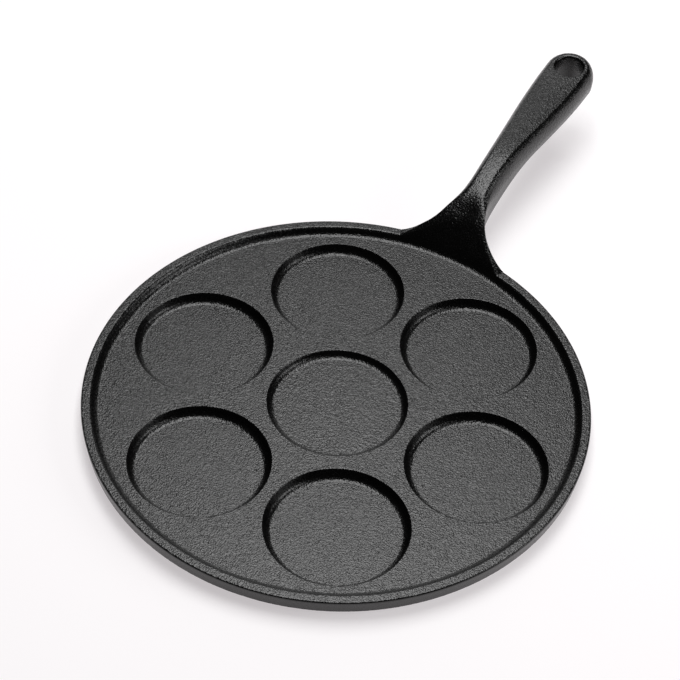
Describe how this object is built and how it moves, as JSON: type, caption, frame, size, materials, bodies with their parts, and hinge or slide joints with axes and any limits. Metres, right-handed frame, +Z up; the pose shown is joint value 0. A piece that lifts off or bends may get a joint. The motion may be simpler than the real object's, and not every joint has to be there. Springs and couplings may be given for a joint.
{
  "type": "cast iron pancake pan",
  "caption": "Round cast iron pan with shallow wells for small pancakes, a raised rim and a rising cast handle with a hanging hole.",
  "frame": {"origin": "on the centre well's axis, in the plane that the pan stands on", "axes": "+X along the handle, +Y to its left, +Z up; the pan stands on the flat undersides of its wells at Z = 0"},
  "size_m": [0.3774, 0.24, 0.0423],
  "materials": {
    "seasoned_iron": "satin black, sand-cast grain under baked seasoning"
  },
  "bodies": {
    "root": {"griddle_deck": "seasoned_iron", "rim_wall": "seasoned_iron", "well_centre": "seasoned_iron", "well_1": "seasoned_iron", "well_2": "seasoned_iron", "well_3": "seasoned_iron", "well_4": "seasoned_iron", "well_5": "seasoned_iron", "well_6": "seasoned_iron", "handle_root": "seasoned_iron", "handle_grip": "seasoned_iron", "handle_eye": "seasoned_iron"}
  },
  "joints": []
}
